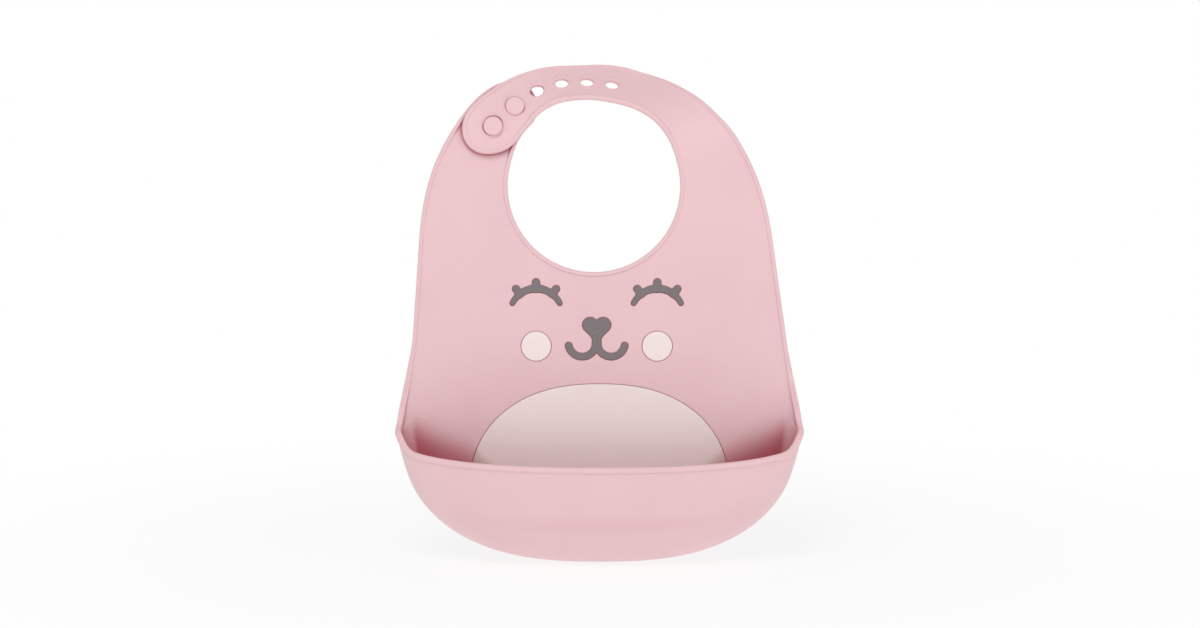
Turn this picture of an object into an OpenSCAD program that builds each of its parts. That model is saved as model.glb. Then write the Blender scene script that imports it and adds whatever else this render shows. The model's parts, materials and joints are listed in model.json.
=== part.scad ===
// Soft moulded baby bib: a thin sheet with a round neck opening, a front catch pocket and a
// strap with a row of holes that snaps over two studs. Millimetres, +Z up, the front faces -Y.
// The origin is on the centre line, on the back face, level with the pocket corners.

/* [Sheet] */
// Thickness of the moulded sheet
sheet_t = 2; // [1.8:0.1:2.4]
// Width across the pocket corners
corner_w = 230; // [224:1:236]
// Width of the panel at the level of the pocket corners
panel_w = 210; // [206:1:212]
// Width of the panel where the pocket wing leaves its side edge
wing_w = 215; // [213:1:217]
// Height at which the pocket wing leaves the side edge
wing_z = 40; // [36:1:44]
// Width of the panel at the shoulder line
shoulder_w = 202; // [198:0.2:204]
// Height of the shoulder line, where the sides start to round in
shoulder_z = 100; // [96:1:104]
// Height at which the rounded sides would close over the neck
crown_z = 200.6; // [198:0.2:204]
// Height of the line on which the yoke folds, just under the neck opening
fold_z = 82.2; // [82:0.1:82.8]

/* [Neck and straps] */
// Radius of the neck opening
neck_r = 49; // [47:0.5:49]
// Height of the centre of the neck opening
neck_z = 133.2; // [133:0.2:135]
// Sideways set of the neck opening, to the wearer's right
neck_lean = 3.2; // [0:0.1:5]
// Width of the neck strap
strap_w = 32.4; // [31:0.2:34]
// Lean of the strap at the nape, in degrees from the plane of the panel
nape_tilt = 52; // [40:0.5:56]
// Backward set of the inner edge at the nape
nape_back = 10; // [6:1:12]
// Angle at which the hole strap leaves the panel
strap_root = 12; // [10:1:14]
// Angle at which the stud tab leaves the panel
tab_root = 172; // [170:1:174]
// Angle of the middle of the tab's rounded end
tab_end = 137.5; // [137:0.5:139]

/* [Snap fastening] */
// Angle of the last strap hole, which sits on the lower stud
last_hole = 149.6; // [149:0.1:150]
// Angle between neighbouring holes
hole_pitch = 13.9; // [13.8:0.1:14.2]
// Number of holes in the strap
hole_count = 6; // [5:1:6]
// Diameter of a strap hole
hole_d = 8; // [7.6:0.1:8.2]
// Diameter of the thickened collar round a hole
collar_d = 11.6; // [11:0.1:12]
// Height of the collar above each face of the sheet
collar_h = 0.4; // [0.3:0.1:0.5]
// Diameter of a stud's head
head_d = 10.8; // [10.4:0.1:11]
// Diameter of a stud's neck
neck_d = 6.6; // [6.2:0.1:7]
// Distance from the tab's mid-surface to the mid-surface of the strap over it
layer_step = 3.6; // [3.4:0.1:4]

/* [Pocket] */
// Depth of the pocket below its corners
pocket_z = 80.7; // [76:0.1:82]
// Distance from the panel's back face to the front of the lip
pocket_y = 50; // [44:1:54]
// Distance from the panel's back face to the lip at the corners
corner_y = 12; // [10:1:14]
// Fall of the lip for each millimetre forward
lip_fall = 0.3; // [0.2:0.05:0.4]
// Further fall of the lip where it turns in from each corner
lip_drop = 6.2; // [4:0.1:7]
// How far the corners flare out from the sides of the bowl
corner_flare = 6; // [4:0.5:7]
// Distance from the panel's lower edge to the outermost line of the pocket
pocket_inset = 10; // [8:1:11]

/* [Face and belly] */
// Sideways set of the face, to the wearer's right
face_lean = 1.6; // [0:0.1:3]
// Half width of the belly inlay
belly_x = 75; // [70:1:78]
// Height of the top of the belly inlay
belly_top = 19.9; // [16:0.1:21]
// Radius of a cheek inlay
cheek_r = 8.5; // [8:0.1:9]
// Sideways distance of the eyes and cheeks from the middle of the face
eye_x = 34.6; // [33:0.2:36]
// Height of the centre of the eye arcs
eye_z = 59.6; // [58:0.1:60]
// Height of the centre of the cheeks
cheek_z = 41.8; // [41:0.1:43]
// Height of the middle of the mouth
mouth_z = 43.7; // [43:0.1:45]

/* [Hidden] */
$fn = 64;
pink = [0.89, 0.73, 0.75];
cream = [0.92, 0.84, 0.82];
grey = [0.48, 0.45, 0.46];
slit = 0.5;                       // gap at each line where the moulding is split into nodes
fit_gap = 0.05;                   // clearance round an inlay or a stud root
inlay_depth = 0.8;                // depth of an inlay's recess in the sheet
cap_share = 0.97;                 // a stroke's round ends are this share of its half width
cap_inset = 1;                    // and start this many degrees inside it
inlay_proud = 0.15;               // height of an inlay above the sheet's front face
root_depth = 0.5;                 // depth of a stud's recess in the tab
head_t = 2.2;                     // thickness of a stud's head
head_bevel = 0.5;                 // bevel at the rim of a stud's head
head_play = 0.3;                  // play between the strap's collar and a stud's head
mid_y = -sheet_t / 2;             // the sheet's mid-surface
lean_rate = neck_lean / (neck_z - wing_z);   // sideways set of the centre line for each mm up
nape_sink = 0.105;                // fall of the arms for each millimetre they lean back
side_power = 2.45;                // squareness of the rounded sides
pocket_power = 2.6;               // squareness of the pocket's outline
lip_power = 2.3;                  // squareness of the lip's outline from above
tilt_power = 0.62;                // how soon the arms start to lean, away from the studs
lean_over = 60;                   // angle in which they reach their full lean
root_over = 14;                   // angle in which an arm takes up its own width past its root
spring_out = 1.2;                 // the strap springs this far outwards past its root
spring_span = [35, 105];          // angles between which it does
pull_in = 0.6;                    // the studs pull it this far in over the tab
pull_span = [100, 160];
tip_out = 2.2;                    // its tip sits this far out again
tip_from = 136;
tip_over = 16;
lift_from = 75;                   // the strap climbs over the tab from here
lift_over = 42;
swell_w = 4.1;                    // extra width of the strap past its root
swell_span = [43, 104];
nip = 1.8;                        // the strap's inner edge is cut this far back past its root
nip_span = [14, 82];
waist = 1.8;                      // and this far back over the tab
waist_span = [100, 150];
strap_flare_to = 30;              // the strap narrows from its root to this angle
strap_flare = 0.43;               // by this much for each degree
tab_out = 1.2;                    // the tab's end sits this far out from the neck's edge
tab_out_from = 166;
tab_out_over = 24;
tab_over = 1;                     // the tab is this much wider than the strap over it
tab_flare_to = 148;               // the tab narrows from its root to this angle
tab_flare = 0.36;                 // by this much for each degree
tab_power = 2.4;                  // squareness of the tab's rounded end
wing_power = 2.4;                 // how soon the wings narrow above the corners
flare_reach = 0.35;               // share of the bowl's depth in which the flare fades out
flare_power = 1.6;                // how quickly it does
corner_dip = 7;                   // the pocket's wall dips this far below its lip at the corner
corner_tuck = 2;                  // and starts this far inside it
dip_reach = 0.55;                 // share of a wing's height in which the dip fades out
rib_turn = 0.75;                  // share of its way out at which a rib turns forward, at the corner
bowl_turn = 2.2;                  // the same at the middle of the bowl
knee_reach = 0.6;                 // share of the way forward at which a rib turns up, at the corner
bowl_knee = 0.84;                 // the same at the middle of the bowl
wing_knee = 0.45;                 // the same at the top of a wing
wing_fall = 0.7;                  // share of the way down to the lip there
drop_from = 0.16;                 // share of the lip's reach at which its further fall starts
drop_over = 0.34;                 // and in which it happens
arm_step = 3;                     // angle between two sections of an arm
belly_z = -45;                    // height at which the belly inlay is widest
belly_drop = 10;                  // rounded lower end of the belly inlay

// ---- Curves ------------------------------------------------------------------------------

// 0 to 1 with level ends, for u from 0 to 1
function ease(u) = let(c = min(1, max(0, u))) c * c * (3 - 2 * c);
function mix(a, b, u) = a + (b - a) * u;
// 0 up to 1 and back, for x over a span
function bump(x, span) =
    let(u = min(1, max(0, (x - span[0]) / (span[1] - span[0])))) 16 * pow(u * (1 - u), 2);
// Rounded ramp: 0 for d well below zero, d for d well above zero
function ramp(d) = (d + sqrt(d * d + 4)) / 2;
function unit(v) = v / norm(v);
// Cosine and sine of a superellipse with the given squareness
function sup_cos(a, power) = pow(max(0, cos(a)), 2 / power);
function sup_sin(a, power) = pow(max(0, sin(a)), 2 / power);

// Middle of the bib at height z
function centre_x(z) = -lean_rate * max(0, z - wing_z);

// Half width of the sheet at height z, from the pocket corners to the crown
function side_slope() = (wing_w - shoulder_w) / 2 / (shoulder_z - wing_z);
function rounding(z) = pow((z - shoulder_z) / (crown_z - shoulder_z), side_power);
function half_width(z) =
    z < wing_z ? mix(panel_w, wing_w, z / wing_z) / 2 :
    z < shoulder_z ? wing_w / 2 - side_slope() * (z - wing_z) :
    (shoulder_w / 2 - side_slope() * (z - shoulder_z)) * pow(max(0, 1 - rounding(z)), 1 / side_power);

// Distance from the neck's centre to the side outline along the direction at angle phi
function is_outside(r, phi) =
    let(z = neck_z + r * sin(phi))
    z > crown_z || abs(-neck_lean + r * cos(phi) - centre_x(z)) > half_width(z);
function side_reach(phi, low = 50, high = 140, n = 24) =
    n == 0 ? (low + high) / 2 :
    let(r = (low + high) / 2)
    is_outside(r, phi) ? side_reach(phi, low, r, n - 1) : side_reach(phi, r, high, n - 1);

// ---- The two arms round the neck ------------------------------------------------------------

// Lean of an arm at angle phi, in degrees from the plane of the panel
function tilt(phi) = nape_tilt * ease((phi - strap_root) / lean_over)
    * ease(pow(min(1, max(0, (last_hole - phi) / lean_over)), tilt_power));
// Backward set of an arm's inner edge
function set_back(phi) = nape_back * ease((phi - strap_root) / (90 - strap_root))
    * ease((tab_root - phi) / (tab_root - 90));
// Point at angle phi, w out from the neck's edge and y behind the mid-surface
function arm_flat(phi, w, y) =
    let(back = w * sin(tilt(phi)) + set_back(phi), r = neck_r + w * cos(tilt(phi)))
    [-neck_lean + r * cos(phi), mid_y + y + back, neck_z + r * sin(phi) - nape_sink * back];
function arm_w_dir(phi, w) = unit(arm_flat(phi, w + 0.5, 0) - arm_flat(phi, w - 0.5, 0));
function arm_phi_dir(phi, w) = unit(arm_flat(phi + 0.5, w, 0) - arm_flat(phi - 0.5, w, 0));
// The direction out of the arm's front face
function arm_front(phi, w) = unit(cross(arm_w_dir(phi, w), arm_phi_dir(phi, w)));
function arm(phi, w, h) = arm_flat(phi, w, 0) + h * arm_front(phi, w);

// Width of each arm; both flare out into the shoulders of the panel
function root_blend(phi, root) = ease(abs(phi - root) / root_over);
function strap_own(phi) =
    strap_w + ramp((strap_flare_to - phi) * strap_flare) + swell_w * bump(phi, swell_span);
function strap_width(phi) =
    mix(side_reach(phi) - neck_r, strap_own(phi), root_blend(phi, strap_root));
function tab_own(phi) = strap_w + tab_over + ramp((phi - tab_flare_to) * tab_flare);
function tab_width(phi) = mix(side_reach(phi) - neck_r, tab_own(phi), root_blend(phi, tab_root));
// How far each arm sits outside the neck's edge
function strap_shift(phi) = spring_out * bump(phi, spring_span) - pull_in * bump(phi, pull_span)
    + tip_out * ease((phi - tip_from) / tip_over);
function tab_shift(phi) = tab_out * ease((tab_out_from - phi) / tab_out_over);
// How far the strap's inner edge is cut back
function strap_cut(phi) = nip * bump(phi, nip_span) + waist * bump(phi, waist_span);
// Height of the strap over the panel's surface: it climbs one layer to pass over the tab
function strap_lift(phi) = layer_step * ease((phi - lift_from) / lift_over);

stud_w = strap_w / 2;
stud_angles = [last_hole, last_hole - hole_pitch];
tip_arc = (neck_r + stud_w) * PI / 180;   // millimetres along the strap for each degree
tip_angle = stud_w / tip_arc;             // the angle that a rounded end takes up
tip_steps = [for (a = [15 : 15 : 75]) a];
tip_end = 84;

// A section is [angle, inner w, outer w, height]
function strap_middle(phi) = stud_w + strap_shift(phi);
function strap_section(phi, half) =
    [phi, strap_middle(phi) - half, strap_middle(phi) + half, strap_lift(phi)];
strap_sections = concat(
    [for (phi = [strap_root + slit : arm_step : last_hole - arm_step])
        [phi, strap_shift(phi) + strap_cut(phi), strap_shift(phi) + strap_width(phi),
            strap_lift(phi)]],
    [strap_section(last_hole, stud_w)],
    [for (a = concat(tip_steps, [tip_end]))
        strap_section(last_hole + tip_angle * sin(a), stud_w * cos(a))]);

tab_half = tab_width(tab_end) / 2;
function tab_section(a) =
    let(phi = tab_end - tab_half / tip_arc * sup_sin(a, tab_power),
        middle = tab_half + tab_shift(phi), half = tab_half * sup_cos(a, tab_power))
    [phi, middle - half, middle + half, 0];
tab_sections = concat(
    [for (phi = [tab_root - slit : -arm_step : tab_end + arm_step / 2])
        [phi, tab_shift(phi), tab_shift(phi) + tab_width(phi), 0]],
    [for (a = concat([0], tip_steps, [tip_end])) tab_section(a)]);

// A solid strip through sections, each a flat bar of the sheet's thickness. turn is 1 where the
// angles of the sections rise and -1 where they fall.
module strip(sections, turn) {
    points = [for (s = sections, c = [[1, -1], [2, -1], [2, 1], [1, 1]])
        arm(s[0], s[c[0]], s[3] + c[1] * sheet_t / 2)];
    n = len(sections);
    sides = [for (i = [0 : n - 2], k = [0 : 3])
        let(a = 4 * i + k, b = 4 * i + (k + 1) % 4)
        each [[a, b, b + 4], [a, b + 4, a + 4]]];
    ends = [[0, 2, 1], [0, 3, 2], [4 * n - 4, 4 * n - 3, 4 * n - 2], [4 * n - 4, 4 * n - 2, 4 * n - 1]];
    faces = [for (f = concat(sides, ends)) turn > 0 ? f : [f[2], f[1], f[0]]];
    polyhedron(points, faces);
}

// Places children at a point of an arm, with their +Z out of its front face
module on_arm(phi, w, h) {
    p = arm(phi, w, h);
    x = arm_w_dir(phi, w);
    z = arm_front(phi, w);
    y = cross(z, x);
    multmatrix([[x[0], y[0], z[0], p[0]], [x[1], y[1], z[1], p[1]], [x[2], y[2], z[2], p[2]]])
        children();
}

hole_angles = [for (k = [0 : hole_count - 1]) last_hole - k * hole_pitch];

module hole_strap() {
    collar_t = sheet_t + 2 * collar_h;
    color(pink) difference() {
        union() {
            strip(strap_sections, 1);
            for (phi = hole_angles) on_arm(phi, strap_middle(phi), strap_lift(phi))
                cylinder(d = collar_d, h = collar_t, center = true);
        }
        for (phi = hole_angles) on_arm(phi, strap_middle(phi), strap_lift(phi))
            cylinder(d = hole_d, h = 4 * collar_t, center = true);
    }
}

module stud_tab() {
    color(pink) difference() {
        strip(tab_sections, -1);
        for (phi = stud_angles) on_arm(phi, strap_middle(phi), sheet_t / 2 - root_depth)
            cylinder(d = neck_d + 2 * fit_gap, h = sheet_t);
    }
}

// A stud from its root in the tab, through the strap, to its mushroom head
module stud(phi) {
    foot = sheet_t / 2 - root_depth + fit_gap;
    under = layer_step + sheet_t / 2 + collar_h + head_play - foot;
    r = head_d / 2;
    color(pink) on_arm(phi, strap_middle(phi), foot) rotate_extrude() polygon([[0, 0],
        [neck_d / 2, 0], [neck_d / 2, under], [r, under], [r, under + head_t - head_bevel],
        [r - head_bevel, under + head_t], [0, under + head_t]]);
}
module upper_stud() { stud(stud_angles[1]); }
module lower_stud() { stud(stud_angles[0]); }

// ---- Face and belly inlays ------------------------------------------------------------------

module belly_shape() {
    rise = belly_top - belly_z;
    upper = [for (a = [0 : 5 : 180])
        [sign(cos(a)) * belly_x * sup_cos(acos(abs(cos(a))), lip_power), rise * sup_sin(a, lip_power)]];
    lower = [for (a = [15 : 15 : 165]) [-belly_x * cos(a), -belly_drop * sin(a)]];
    translate([0, belly_z]) polygon(concat(upper, lower));
}

// A curved stroke with round ends, from angle a0 to angle a1, which are under 180 degrees apart
module stroke(r, half, a0, a1) {
    far = 3 * r;
    middle = (a0 + a1) / 2;
    intersection() {
        difference() {
            circle(r + half);
            circle(r - half);
        }
        polygon([[0, 0], far * [cos(a0), sin(a0)], far * [cos(middle), sin(middle)],
            far * [cos(a1), sin(a1)]]);
    }
    for (a = [a0 + cap_inset, a1 - cap_inset])
        translate(r * [cos(a), sin(a)]) circle(cap_share * half);
}

// A closed eye: an arched lid with three short lashes
module eye_shape() {
    lid_r = 15.2;
    lid_half = 2;
    lid_spread = 63.5;
    lash_r = 2.1;
    lash_reach = 18.9;
    lash_spread = 37.3;
    translate([0, eye_z]) {
        stroke(lid_r, lid_half, 90 - lid_spread, 90 + lid_spread);
        for (a = [-lash_spread, 0, lash_spread]) rotate(a) {
            translate([-cap_share * lash_r, lid_r])
                square([2 * cap_share * lash_r, lash_reach - lid_r]);
            translate([0, lash_reach]) circle(lash_r);
        }
    }
}

// A heart-shaped nose with a short stem over a two-lobed mouth
module muzzle_shape() {
    lobe_r = 4.4;
    lobe_x = 3.7;
    nose_z = 54;
    stem_half = 2.1;
    stem_z = 46.5;
    lip_x = 8.2;
    lip_r = 7.9;
    lip_half = 1.95;
    lip_span = [190, 348];
    heart_dip = 2;
    stem_drop = 3.5;
    flank_angle = -35;
    flank = [lobe_x, nose_z] + cap_share * lobe_r * [cos(flank_angle), sin(flank_angle)];
    for (s = [-1, 1]) {
        translate([s * lobe_x, nose_z]) circle(lobe_r);
        span = s > 0 ? lip_span : [540 - lip_span[1], 540 - lip_span[0]];
        translate([s * lip_x, mouth_z]) stroke(lip_r, lip_half, span[0], span[1]);
    }
    stem_low = mouth_z - stem_drop;
    polygon([[-lobe_x, nose_z], [0, nose_z + heart_dip], [lobe_x, nose_z], flank, [stem_half, stem_z],
        [stem_half, stem_low], [-stem_half, stem_low], [-stem_half, stem_z], [-flank[0], flank[1]]]);
}

module cheek_shape() { translate([0, cheek_z]) circle(cheek_r); }

// Stands a drawing up in the sheet's front face, y_in deep and y_out proud of it
module inlay(y_in, y_out) {
    translate([0, y_in - sheet_t, 0]) rotate([90, 0, 0]) linear_extrude(y_in + y_out) children();
}
module at_face(side) { translate([side * eye_x - face_lean, 0]) children(); }
module inlay_body() { inlay(inlay_depth - fit_gap, inlay_proud) children(); }
module recess() { inlay(inlay_depth, 1) children(); }

module belly_inlay() { color(cream) inlay_body() belly_shape(); }
module left_eye_inlay() { color(grey) inlay_body() at_face(-1) eye_shape(); }
module right_eye_inlay() { color(grey) inlay_body() at_face(1) eye_shape(); }
module muzzle_inlay() { color(grey) inlay_body() translate([-face_lean, 0]) muzzle_shape(); }
module left_cheek_inlay() { color(cream) inlay_body() at_face(-1) cheek_shape(); }
module right_cheek_inlay() { color(cream) inlay_body() at_face(1) cheek_shape(); }

// ---- Panels ---------------------------------------------------------------------------------

function side_point(side, z) = [side * half_width(z) + centre_x(z), z];
// Corner of the panel where an arm leaves it
function arm_corner(phi) = [-neck_lean + side_reach(phi) * cos(phi), neck_z + side_reach(phi) * sin(phi)];

module sheet() { rotate([90, 0, 0]) linear_extrude(sheet_t) children(); }

module neck_yoke() {
    z_low = fold_z + slit / 2;
    z_right = arm_corner(strap_root)[1];
    z_left = arm_corner(tab_root)[1];
    round_steps = 9;
    heights = [for (k = [0 : round_steps - 1]) k / round_steps];
    outline = concat(
        [side_point(1, z_low)],
        [for (k = heights) side_point(1, mix(shoulder_z, z_right, k))],
        [arm_corner(strap_root), [-neck_lean, neck_z], arm_corner(tab_root)],
        [for (k = heights) side_point(-1, mix(z_left, shoulder_z, k + 1 / round_steps))],
        [side_point(-1, z_low)]);
    color(pink) sheet() difference() {
        polygon(outline);
        translate([-neck_lean, neck_z]) circle(neck_r, $fn = 128);
    }
}

module face_panel() {
    heights = [fold_z - slit / 2, wing_z, 0];
    lower = [for (a = [-10 : -10 : -170])
        [sign(cos(a)) * panel_w / 2 * sup_cos(acos(abs(cos(a))), pocket_power),
            -(pocket_z - pocket_inset) * sup_sin(-a, pocket_power)]];
    color(pink) difference() {
        sheet() polygon(concat([for (z = heights) side_point(1, z)], lower,
            [for (k = [len(heights) - 1 : -1 : 0]) side_point(-1, heights[k])]));
        recess() {
            belly_shape();
            translate([-face_lean, 0]) muzzle_shape();
        }
        for (side = [-1, 1]) recess() at_face(side) {
            eye_shape();
            cheek_shape();
        }
    }
}

// ---- Catch pocket ---------------------------------------------------------------------------

wing_steps = 5;
bowl_steps = 15;
rib_steps = 10;
wing_top = 0.9;      // share of the wing that the solid shell covers, before it thins to nothing

// A rib of the pocket runs from the panel's edge to the lip. Its four control points are for
// the right-hand side; s runs from -1 at the top of the wing, through 0 at the corner, to 1 at
// the middle of the bowl.
function wing_rib(m) =
    let(y = -corner_y * (1 - m), out = corner_w / 2 - (corner_w - wing_w) / 2 * pow(m, wing_power),
        z = lip_fall * y + wing_z * m * m * m, root_z = wing_z * m * m,
        root = [mix(panel_w, wing_w, m * m) / 2 + slit, mid_y, root_z],
        high_knee = [out, mix(mid_y, y, wing_knee), mix(root_z, z, wing_fall)],
        low_knee = [out - corner_tuck, mix(mid_y, y, knee_reach), z - corner_dip])
    [root, [mix(root[0], out, rib_turn), mid_y, root_z],
        mix(low_knee, high_knee, ease(m / dip_reach)), [out, min(y, mid_y - 0.5), z]];
function bowl_rib(a) =
    let(c = sup_cos(a, pocket_power), s = sup_sin(a, pocket_power),
        lc = sup_cos(a, lip_power), ls = sup_sin(a, lip_power),
        y = -corner_y - (pocket_y - corner_y) * ls,
        root = [(panel_w / 2 + slit) * c, mid_y, -(pocket_z - pocket_inset + slit) * s],
        near = pow(max(0, 1 - s / flare_reach), flare_power),
        rim = [(corner_w / 2 - corner_flare * (1 - near)) * c, mid_y, -pocket_z * s],
        lip = [corner_w / 2 * lc, y, lip_fall * y - lip_drop * ease((ls - drop_from) / drop_over)])
    [root, root + mix(rib_turn, bowl_turn, s) * (rim - root),
        [(lip[0] + rim[0]) / 2 - corner_tuck * near, mix(mid_y, y, mix(knee_reach, bowl_knee, s)),
            mix(lip[2] - corner_dip, sheet_t - pocket_z, s)],
        lip];
function curve(p, t) =
    let(u = 1 - t)
    u * u * u * p[0] + 3 * u * u * t * p[1] + 3 * u * t * t * p[2] + t * t * t * p[3];
function mirrored(rib) = [for (p = rib) [-p[0], p[1], p[2]]];

right_ribs = concat(
    [for (k = [wing_steps : -1 : 1]) wing_rib(wing_top * k / wing_steps)],
    [for (k = [0 : bowl_steps]) bowl_rib(90 * k / bowl_steps)]);
ribs = concat(right_ribs, [for (k = [len(right_ribs) - 2 : -1 : 0]) mirrored(right_ribs[k])]);

module catch_pocket() {
    n = len(ribs);
    m = rib_steps + 1;
    grid = [for (rib = ribs) [for (j = [0 : rib_steps]) curve(rib, j / rib_steps)]];
    function along(i, j) = grid[min(n - 1, i + 1)][j] - grid[max(0, i - 1)][j];
    function across(i, j) = grid[i][min(m - 1, j + 1)] - grid[i][max(0, j - 1)];
    points = [for (side = [1, -1], i = [0 : n - 1], j = [0 : m - 1])
        grid[i][j] + side * sheet_t / 2 * unit(cross(along(i, j), across(i, j)))];
    back = n * m;
    function quad(a, b, c, d) = [[a, b, c], [a, c, d]];
    skins = [for (i = [0 : n - 2], j = [0 : m - 2])
        let(a = i * m + j)
        each concat(quad(a, a + 1, a + m + 1, a + m),
            quad(back + a, back + a + m, back + a + m + 1, back + a + 1))];
    rims = [for (i = [0 : n - 2], j = [0, m - 1])
        let(a = i * m + j, b = a + m)
        each j == 0 ? quad(a, b, back + b, back + a) : quad(b, a, back + a, back + b)];
    ends = [for (i = [0, n - 1], j = [0 : m - 2])
        let(a = i * m + j, b = a + 1)
        each i == 0 ? quad(b, a, back + a, back + b) : quad(a, b, back + b, back + a)];
    color(pink) polyhedron(points, concat(skins, rims, ends));
}

face_panel();
belly_inlay();
catch_pocket();
neck_yoke();
left_eye_inlay();
right_eye_inlay();
muzzle_inlay();
left_cheek_inlay();
right_cheek_inlay();
hole_strap();
stud_tab();
upper_stud();
lower_stud();
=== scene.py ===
"""The looks of a moulded silicone bib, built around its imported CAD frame.

Lengths in this script are millimetres until a mesh is made; MM turns them into metres. Angles round
the neck are in degrees, from its right-hand side over its top. The bib hangs in the XZ plane and its
front faces -Y. The pink moulding is one thin sheet: every part of it is a mid-surface with a
thickness that swells into a round bead along the free edges and into a collar round each strap hole.
"""

import json
import math

import bmesh
import bpy
import numpy as np
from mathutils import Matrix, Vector
from mathutils.geometry import delaunay_2d_cdt

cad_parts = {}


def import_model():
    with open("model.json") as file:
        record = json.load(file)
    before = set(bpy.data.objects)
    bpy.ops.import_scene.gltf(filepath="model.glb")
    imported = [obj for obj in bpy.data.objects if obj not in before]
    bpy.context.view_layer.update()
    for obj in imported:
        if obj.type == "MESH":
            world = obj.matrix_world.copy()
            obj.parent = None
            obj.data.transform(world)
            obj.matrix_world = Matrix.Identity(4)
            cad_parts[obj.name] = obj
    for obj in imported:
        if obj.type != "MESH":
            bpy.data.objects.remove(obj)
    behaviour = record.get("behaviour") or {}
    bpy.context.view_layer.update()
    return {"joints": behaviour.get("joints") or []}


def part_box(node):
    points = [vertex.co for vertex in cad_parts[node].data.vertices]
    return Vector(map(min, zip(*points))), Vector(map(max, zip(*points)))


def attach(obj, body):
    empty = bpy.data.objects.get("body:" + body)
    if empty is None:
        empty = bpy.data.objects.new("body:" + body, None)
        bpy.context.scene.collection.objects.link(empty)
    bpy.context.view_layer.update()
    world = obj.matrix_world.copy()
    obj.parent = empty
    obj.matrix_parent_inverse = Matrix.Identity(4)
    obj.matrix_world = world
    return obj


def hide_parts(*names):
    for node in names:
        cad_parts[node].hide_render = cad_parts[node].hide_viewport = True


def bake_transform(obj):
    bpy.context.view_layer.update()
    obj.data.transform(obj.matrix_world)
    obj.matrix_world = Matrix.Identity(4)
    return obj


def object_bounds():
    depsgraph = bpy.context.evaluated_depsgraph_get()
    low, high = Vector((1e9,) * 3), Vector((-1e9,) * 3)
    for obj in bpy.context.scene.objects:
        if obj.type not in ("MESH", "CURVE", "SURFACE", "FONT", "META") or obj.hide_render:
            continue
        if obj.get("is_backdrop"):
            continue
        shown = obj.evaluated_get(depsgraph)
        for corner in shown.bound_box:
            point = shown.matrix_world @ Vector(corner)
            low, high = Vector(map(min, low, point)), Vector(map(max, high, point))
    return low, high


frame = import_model()

MM = 0.001

# ---- Driving dimensions ------------------------------------------

panel_low, panel_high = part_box("face_panel")
SHEET_HALF = (panel_high.y - panel_low.y) / MM / 2  # half the sheet's thickness
MID_Y = -SHEET_HALF

CORNER_W = 230.0  # width across the pocket corners
PANEL_W = 210.0  # width of the panel at the pocket corners
WING_W = 215.0  # width of the panel at the height WING_Z
WING_Z = 40.0
SHOULDER_W = 202.0  # width at the height SHOULDER_Z, where the sides start to round in
SHOULDER_Z = 100.0
CROWN_Z = 200.6  # height at which the rounded sides would meet
SIDE_POWER = 2.45  # squareness of the rounded sides
SEAM_Z = 46.0  # the pocket's wings start at this height
SEAM_IN = 6.5  # the pocket piece starts this far inside its root

NECK_R = 49.0
NECK_Z = 133.2
NECK_LEAN = 3.2  # sideways set of the neck opening
NAPE = 90.0  # angle of the top of the neck opening
STRAP_W = 32.4
NAPE_TILT = 52.0  # lean of the arms at the nape
NAPE_BACK = 10.0  # backward set of their inner edge there
NAPE_SINK = 0.105  # fall of the arms for each millimetre they lean back
TILT_POWER = 0.62  # how soon the arms start to lean, away from the studs
LEAN_OVER = 60.0  # angle in which they reach their full lean
STRAP_ROOT = 12.0
TAB_ROOT = 172.0
ROOT_OVER = 14.0  # angle in which an arm takes up its own width past its root
TAB_END = 137.5
TAB_OUT = 1.2  # the tab's end sits this far out from the neck's edge
TAB_OUT_FROM = 166.0
TAB_OUT_OVER = 24.0
TAB_OVER = 1.0  # the tab is this much wider than the strap over it
TAB_POWER = 2.4  # squareness of the tab's rounded end
TAB_FLARE_TO = 148.0  # the tab narrows from its root to this angle
TAB_FLARE = 0.36  # by this much for each degree
STRAP_FLARE_TO = 30.0  # the strap narrows from its root to this angle
STRAP_FLARE = 0.43  # by this much for each degree
SPRING_OUT = 1.2  # the strap springs this far outwards past its root
SPRING_SPAN = (35.0, 105.0)
PULL_IN = 0.6  # the studs pull it this far in over the tab
PULL_SPAN = (100.0, 160.0)
TIP_OUT = 2.2  # its tip sits this far out again
TIP_FROM = 136.0
TIP_OVER = 16.0
LIFT_FROM = 75.0  # the strap climbs over the tab from here
LIFT_OVER = 42.0
SWELL_W = 4.1  # extra width of the strap past its root
SWELL_SPAN = (43.0, 104.0)
NIP = 1.8  # its inner edge is cut this far back past its root
NIP_SPAN = (14.0, 82.0)
WAIST = 1.8  # and this far back over the tab
WAIST_SPAN = (100.0, 150.0)
ARM_SCALE = math.radians(NECK_R + STRAP_W / 2)  # millimetres along the strap for each degree

LAST_HOLE = 149.6
HOLE_PITCH = 13.9
HOLE_COUNT = 6
HOLE_R = 4.0
LAYER_STEP = 3.6  # height of the strap over the tab

POCKET_Z = 80.7
POCKET_Y = 50.0
CORNER_Y = 12.0
LIP_FALL = 0.3  # fall of the lip for each millimetre it reaches forward
LIP_DROP = 6.2  # further fall of the lip between the corners
DROP_FROM = 0.16  # share of the lip's reach at which this fall starts
DROP_OVER = 0.34  # and in which it happens
CORNER_FLARE = 6.0
FLARE_REACH = 0.35  # share of the bowl's depth in which the flare fades out
FLARE_POWER = 1.6
CORNER_DIP = 7.0  # the pocket's wall dips this far below its lip at the corner
CORNER_TUCK = 2.0  # and starts this far inside it
DIP_REACH = 0.55  # share of a wing's height in which the dip fades out
POCKET_INSET = 10.0
POCKET_POWER = 2.6  # squareness of the pocket's outline
LIP_POWER = 2.3  # squareness of the lip's outline from above
WING_POWER = 2.4  # how soon the wings narrow above the corners
WING_REACH_POWER = 1.3  # how soon they reach forward below their tops
WING_ROOT_IN = 1.7  # their root moves in by this much at their tops
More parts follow.
